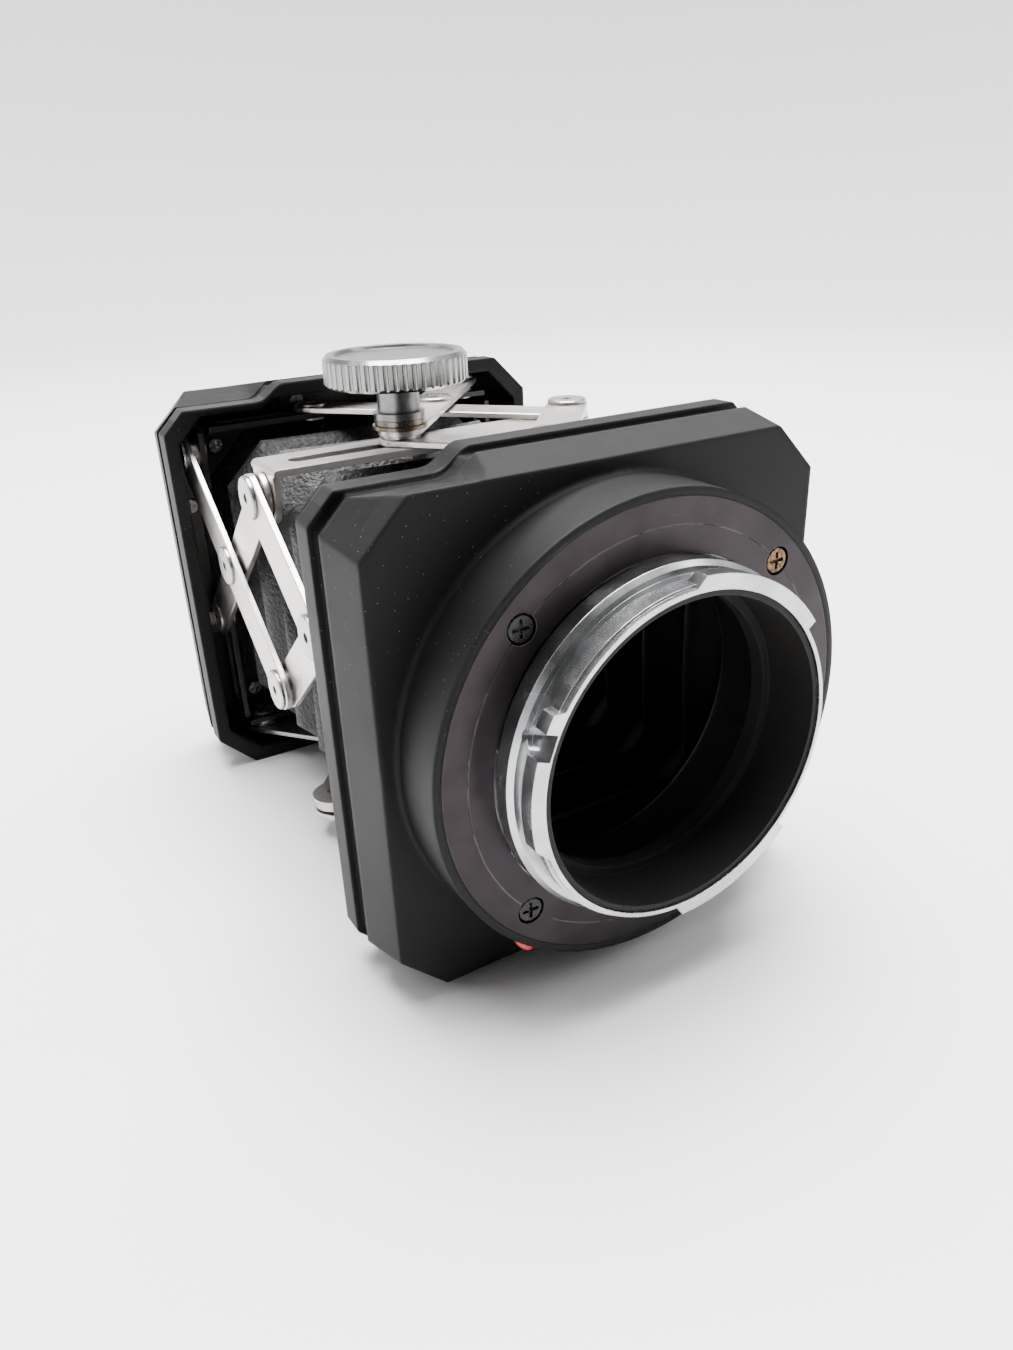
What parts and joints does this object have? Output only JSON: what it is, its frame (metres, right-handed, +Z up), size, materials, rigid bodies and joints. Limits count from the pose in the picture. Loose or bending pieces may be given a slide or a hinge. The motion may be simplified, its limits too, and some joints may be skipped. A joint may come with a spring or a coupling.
{
  "type": "macro extension bellows on scissor struts",
  "caption": "Compact close-up bellows for a reflex camera: square plates, pleated bellows, scissor struts and a knurled clamp knob.",
  "frame": {"origin": "centre of the bounding box in plan, on the surface that both plates stand on", "axes": "+Z up, -Y towards the camera body, +Y towards the lens, +X to the right seen from the camera"},
  "size_m": [0.07, 0.1098, 0.0772],
  "materials": {
    "satin_black_paint": "satin black stoved paint on die-cast metal",
    "dark_anodised": "purple-black anodising, satin",
    "chrome": "satin to bright chrome plating",
    "matt_black": "matt black",
    "black_screw": "blackened steel",
    "steel_screw": "nickel-plated steel",
    "index_red": "red enamel",
    "leatherette": "grained black bellows leatherette",
    "spring_steel": "spring steel",
    "release_black": "satin black",
    "guide_steel": "blackened steel sheet",
    "rivet_steel": "turned stainless steel",
    "strut_steel": "satin nickel-plated steel strip",
    "washer_brass": "worn plated brass"
  },
  "bodies": {
    "camera_standard": {"camera_shell": "satin_black_paint", "camera_flange_ring": "dark_anodised", "camera_bayonet": "chrome", "camera_baffle": "matt_black", "camera_flange_screws": "black_screw", "camera_index_dot": "index_red", "camera_bellows_frame": "matt_black", "camera_frame_screws": "steel_screw", "camera_guides": "guide_steel", "camera_guide_screws": "steel_screw", "camera_pivot_pins": "rivet_steel", "bellows": "leatherette"},
    "lens_standard": {"lens_shell": "satin_black_paint", "lens_mount": "chrome", "lens_mount_screws": "steel_screw", "lens_mount_springs": "spring_steel", "lens_release_spring": "spring_steel", "lens_index_dot": "index_red", "lens_bellows_frame": "matt_black", "lens_frame_screws": "steel_screw", "lens_guides": "guide_steel", "lens_guide_screws": "steel_screw", "lens_pivot_pins": "rivet_steel"},
    "lens_release": {"lens_release": "release_black", "lens_lock_pin": "chrome"},
    "top_bracket": {"top_bracket": "strut_steel", "top_bracket_rivets": "rivet_steel"},
    "bottom_bracket": {"bottom_bracket": "strut_steel", "bottom_bracket_rivets": "rivet_steel"},
    "knob": {"knob": "chrome"},
    "left_link_1": {"left_link_1": "strut_steel", "left_link_1_pins": "rivet_steel"},
    "left_link_2": {"left_link_2": "strut_steel", "left_link_2_pin": "rivet_steel"},
    "left_link_3": {"left_link_3": "strut_steel"},
    "left_link_4": {"left_link_4": "strut_steel", "left_link_4_pin": "rivet_steel"},
    "top_link_1": {"top_link_1": "strut_steel", "top_link_1_pins": "rivet_steel"},
    "top_link_2": {"top_link_2": "strut_steel", "top_link_2_pin": "rivet_steel"},
    "top_link_3": {"top_link_3": "strut_steel"},
    "top_link_4": {"top_link_4": "strut_steel", "knob_stud": "chrome", "knob_washers": "washer_brass", "clamp_nut": "washer_brass"},
    "right_link_1": {"right_link_1": "strut_steel", "right_link_1_pins": "rivet_steel"},
    "right_link_2": {"right_link_2": "strut_steel", "right_link_2_pin": "rivet_steel"},
    "right_link_3": {"right_link_3": "strut_steel"},
    "right_link_4": {"right_link_4": "strut_steel", "right_link_4_pin": "rivet_steel"},
    "bottom_link_1": {"bottom_link_1": "strut_steel", "bottom_link_1_pins": "rivet_steel"},
    "bottom_link_2": {"bottom_link_2": "strut_steel", "bottom_link_2_pin": "rivet_steel"},
    "bottom_link_3": {"bottom_link_3": "strut_steel"},
    "bottom_link_4": {"bottom_link_4": "strut_steel", "bottom_link_4_pin": "rivet_steel"}
  },
  "joints": [
    {"name": "extension_fold", "type": "hinge", "parent": "camera_standard", "child": "left_link_4", "pos_m": [-0.03, -0.03055, 0.0593], "axis": [-1, 0, 0], "range_deg": [0, 36.36], "deforming": ["bellows"]},
    {"name": "left_front_cross", "type": "hinge", "parent": "left_link_4", "child": "left_link_1", "pos_m": [-0.03, -0.0118, 0.04395], "axis": [-1, 0, 0], "range_deg": [-72.72, 0]},
    {"name": "left_middle_low", "type": "hinge", "parent": "left_link_4", "child": "left_link_2", "pos_m": [-0.03, 0.00695, 0.0286], "axis": [-1, 0, 0], "range_deg": [-72.72, 0]},
    {"name": "lens_standard_pivot", "type": "hinge", "parent": "left_link_2", "child": "lens_standard", "pos_m": [-0.03, 0.04445, 0.0593], "axis": [-1, 0, 0], "range_deg": [0, 36.36]},
    {"name": "top_bracket_pivot", "type": "hinge", "parent": "left_link_1", "child": "top_bracket", "pos_m": [-0.03, 0.00695, 0.0593], "axis": [-1, 0, 0], "range_deg": [0, 36.36]},
    {"name": "top_link_4_pivot", "type": "hinge", "parent": "camera_standard", "child": "top_link_4", "pos_m": [0.0243, -0.03055, 0.065], "axis": [0, 0, 1], "range_deg": [0, 36.36]},
    {"name": "top_front_cross", "type": "hinge", "parent": "top_link_4", "child": "top_link_1", "pos_m": [0.00895, -0.0118, 0.065], "axis": [0, 0, 1], "range_deg": [-72.72, 0]},
    {"name": "top_middle_low", "type": "hinge", "parent": "top_link_4", "child": "top_link_2", "pos_m": [-0.0064, 0.00695, 0.065], "axis": [0, 0, 1], "range_deg": [-72.72, 0]},
    {"name": "right_link_4_pivot", "type": "hinge", "parent": "camera_standard", "child": "right_link_4", "pos_m": [0.03, -0.03055, 0.0107], "axis": [1, 0, 0], "range_deg": [0, 36.36]},
    {"name": "right_front_cross", "type": "hinge", "parent": "right_link_4", "child": "right_link_1", "pos_m": [0.03, -0.0118, 0.02605], "axis": [1, 0, 0], "range_deg": [-72.72, 0]},
    {"name": "right_middle_low", "type": "hinge", "parent": "right_link_4", "child": "right_link_2", "pos_m": [0.03, 0.00695, 0.0414], "axis": [1, 0, 0], "range_deg": [-72.72, 0]},
    {"name": "bottom_bracket_pivot", "type": "hinge", "parent": "right_link_1", "child": "bottom_bracket", "pos_m": [0.03, 0.00695, 0.0107], "axis": [1, 0, 0], "range_deg": [0, 36.36]},
    {"name": "bottom_link_4_pivot", "type": "hinge", "parent": "camera_standard", "child": "bottom_link_4", "pos_m": [-0.0243, -0.03055, 0.005], "axis": [0, 0, -1], "range_deg": [0, 36.36]},
    {"name": "bottom_front_cross", "type": "hinge", "parent": "bottom_link_4", "child": "bottom_link_1", "pos_m": [-0.00895, -0.0118, 0.005], "axis": [0, 0, -1], "range_deg": [-72.72, 0]},
    {"name": "bottom_middle_low", "type": "hinge", "parent": "bottom_link_4", "child": "bottom_link_2", "pos_m": [0.0064, 0.00695, 0.005], "axis": [0, 0, -1], "range_deg": [-72.72, 0]},
    {"name": "left_middle_high", "type": "hinge", "parent": "top_bracket", "child": "left_link_3", "pos_m": [-0.03, 0.00695, 0.0593], "axis": [-1, 0, 0], "range_deg": [0, 36.36]},
    {"name": "top_middle_high", "type": "hinge", "parent": "top_bracket", "child": "top_link_3", "pos_m": [0.0243, 0.00695, 0.065], "axis": [0, 0, 1], "range_deg": [0, 36.36]},
    {"name": "right_middle_high", "type": "hinge", "parent": "bottom_bracket", "child": "right_link_3", "pos_m": [0.03, 0.00695, 0.0107], "axis": [1, 0, 0], "range_deg": [0, 36.36]},
    {"name": "bottom_middle_high", "type": "hinge", "parent": "bottom_bracket", "child": "bottom_link_3", "pos_m": [-0.0243, 0.00695, 0.005], "axis": [0, 0, -1], "range_deg": [0, 36.36]},
    {"name": "knob_turn", "type": "hinge", "parent": "top_link_4", "child": "knob", "pos_m": [-0.0064, 0.00695, 0.0727], "axis": [0, 0, 1], "range_deg": [0, 180]},
    {"name": "lens_release_slide", "type": "slide", "parent": "lens_standard", "child": "lens_release", "axis": [0.7071, 0, -0.7071], "range_m": [0, 0.0018], "stiffness_N_per_m": 300, "springref_m": -0.002, "deforming": ["lens_release_spring"]}
  ],
  "couplings": [
    {"joint": "left_front_cross", "follows": "extension_fold", "ratio": -2},
    {"joint": "left_middle_low", "follows": "extension_fold", "ratio": -2},
    {"joint": "lens_standard_pivot", "follows": "extension_fold", "ratio": 1},
    {"joint": "top_bracket_pivot", "follows": "extension_fold", "ratio": 1},
    {"joint": "top_link_4_pivot", "follows": "extension_fold", "ratio": 1},
    {"joint": "top_front_cross", "follows": "extension_fold", "ratio": -2},
    {"joint": "top_middle_low", "follows": "extension_fold", "ratio": -2},
    {"joint": "right_link_4_pivot", "follows": "extension_fold", "ratio": 1},
    {"joint": "right_front_cross", "follows": "extension_fold", "ratio": -2},
    {"joint": "right_middle_low", "follows": "extension_fold", "ratio": -2},
    {"joint": "bottom_bracket_pivot", "follows": "extension_fold", "ratio": 1},
    {"joint": "bottom_link_4_pivot", "follows": "extension_fold", "ratio": 1},
    {"joint": "bottom_front_cross", "follows": "extension_fold", "ratio": -2},
    {"joint": "bottom_middle_low", "follows": "extension_fold", "ratio": -2},
    {"joint": "left_middle_high", "follows": "extension_fold", "ratio": 1},
    {"joint": "top_middle_high", "follows": "extension_fold", "ratio": 1},
    {"joint": "right_middle_high", "follows": "extension_fold", "ratio": 1},
    {"joint": "bottom_middle_high", "follows": "extension_fold", "ratio": 1}
  ]
}
